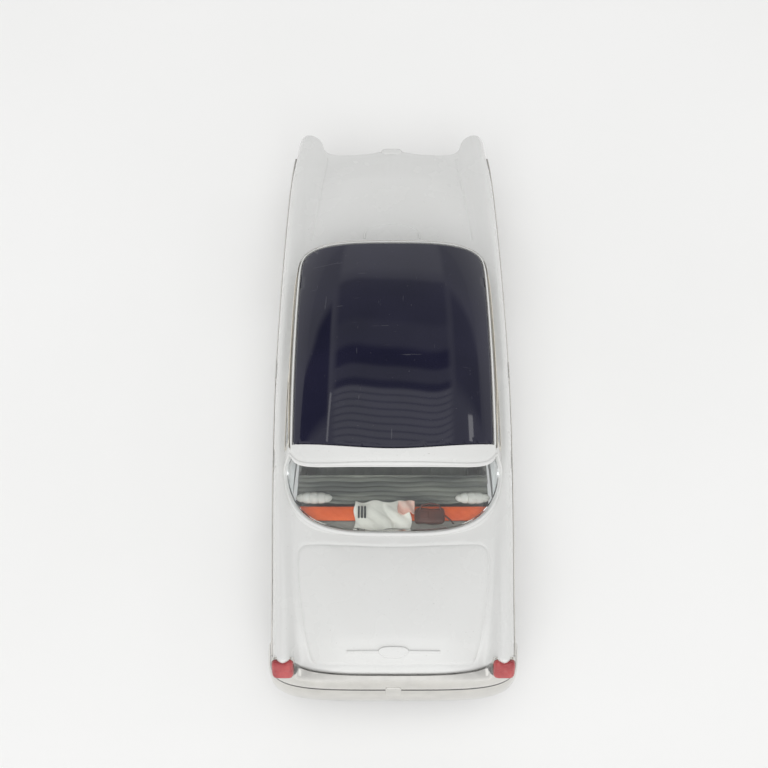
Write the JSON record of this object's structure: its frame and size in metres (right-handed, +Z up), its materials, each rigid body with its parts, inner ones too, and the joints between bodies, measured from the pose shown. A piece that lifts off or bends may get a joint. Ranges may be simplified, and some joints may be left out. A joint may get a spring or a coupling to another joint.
{
  "type": "diecast collector car",
  "caption": "Two-tone four-door saloon model with inset roof panel, wrap-round rear window, finned tail lamps, chrome bumpers and free-rolling axle sets.",
  "frame": {"origin": "on the ground under the middle of the car", "axes": "+Y forward, +X to the car's right, +Z up"},
  "size_m": [0.081, 0.21, 0.065],
  "materials": {
    "body_paint": "gloss warm off-white paint",
    "roof_paint": "high-gloss dark blue paint",
    "clear_plastic": "clear",
    "bright_trim": "bright plated",
    "seat_vinyl": "satin grey",
    "shelf_vinyl": "satin orange",
    "interior_card": "satin grey",
    "black_plastic": "satin black",
    "base_paint": "satin black paint",
    "exhaust_metal": "dull",
    "red_lens": "clear red",
    "axle_steel": "bright",
    "tyre_rubber": "matt black"
  },
  "bodies": {
    "car": {"body_shell": "body_paint", "roof_panel": "roof_paint", "windscreen_glass": "clear_plastic", "rear_glass": "clear_plastic", "left_side_glass": "clear_plastic", "right_side_glass": "clear_plastic", "windscreen_trim": "bright_trim", "rear_window_trim": "body_paint", "left_drip_rail": "bright_trim", "right_drip_rail": "bright_trim", "interior_tub": "interior_card", "front_seat": "seat_vinyl", "rear_seat": "seat_vinyl", "parcel_shelf": "shelf_vinyl", "dashboard": "body_paint", "steering_wheel": "black_plastic", "base_plate": "base_paint", "base_screws": "bright_trim", "exhaust_pipe": "exhaust_metal", "front_bumper": "bright_trim", "rear_bumper": "bright_trim", "rear_plate_guard": "bright_trim", "grille": "bright_trim", "left_headlamp_bezel": "bright_trim", "right_headlamp_bezel": "bright_trim", "left_headlamp_lens": "clear_plastic", "right_headlamp_lens": "clear_plastic", "left_tail_lamp_housing": "bright_trim", "right_tail_lamp_housing": "bright_trim", "left_tail_lens": "red_lens", "right_tail_lens": "red_lens", "bonnet_crest": "bright_trim", "boot_trim_bar": "body_paint", "left_side_trim": "bright_trim", "right_side_trim": "bright_trim", "door_handles": "bright_trim"},
    "front_axle_set": {"front_axle": "axle_steel", "front_left_tyre": "tyre_rubber", "front_left_rim": "bright_trim", "front_left_hubcap": "bright_trim", "front_right_tyre": "tyre_rubber", "front_right_rim": "bright_trim", "front_right_hubcap": "bright_trim"},
    "rear_axle_set": {"rear_axle": "axle_steel", "rear_left_tyre": "tyre_rubber", "rear_left_rim": "bright_trim", "rear_left_hubcap": "bright_trim", "rear_right_tyre": "tyre_rubber", "rear_right_rim": "bright_trim", "rear_right_hubcap": "bright_trim"}
  },
  "joints": [
    {"name": "front_axle_turn", "type": "hinge", "parent": "car", "child": "front_axle_set", "pos_m": [0, 0.065, 0.0144], "axis": [-1, 0, 0], "continuous": true},
    {"name": "rear_axle_turn", "type": "hinge", "parent": "car", "child": "rear_axle_set", "pos_m": [0, -0.056, 0.0144], "axis": [-1, 0, 0], "continuous": true}
  ]
}
